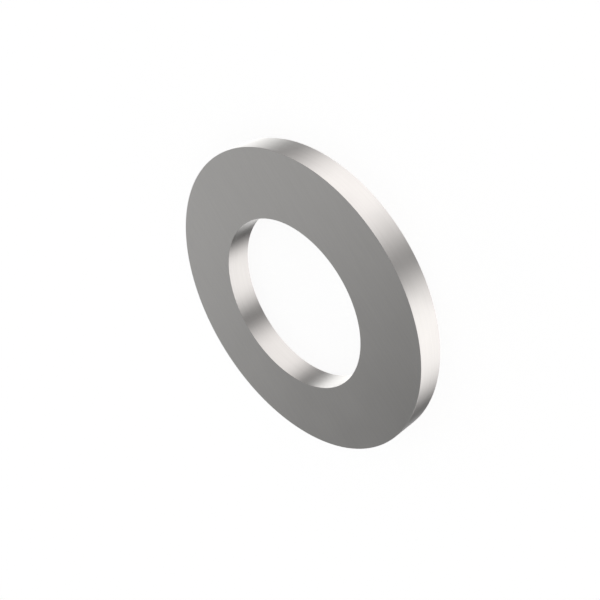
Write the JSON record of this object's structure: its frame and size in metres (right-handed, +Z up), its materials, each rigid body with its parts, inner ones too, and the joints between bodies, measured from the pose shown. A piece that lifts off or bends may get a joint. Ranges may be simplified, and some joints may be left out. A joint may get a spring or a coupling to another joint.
{
  "type": "flat washer",
  "caption": "Plain flat washer: a round metal ring with parallel faces and a central bolt hole, set under a bolt head or nut to spread its load.",
  "frame": {"origin": "centre of the bore in the plane of the lower bearing face, on which the washer lies", "axes": "+Z up along the axis of the bore, from the lower bearing face to the upper one; X and Y lie in the lower face, and any turn about Z is the same part"},
  "size_m": [0.06, 0.06, 0.005],
  "materials": {
    "satin_steel": "satin"
  },
  "bodies": {
    "root": {"washer": "satin_steel"}
  },
  "joints": []
}
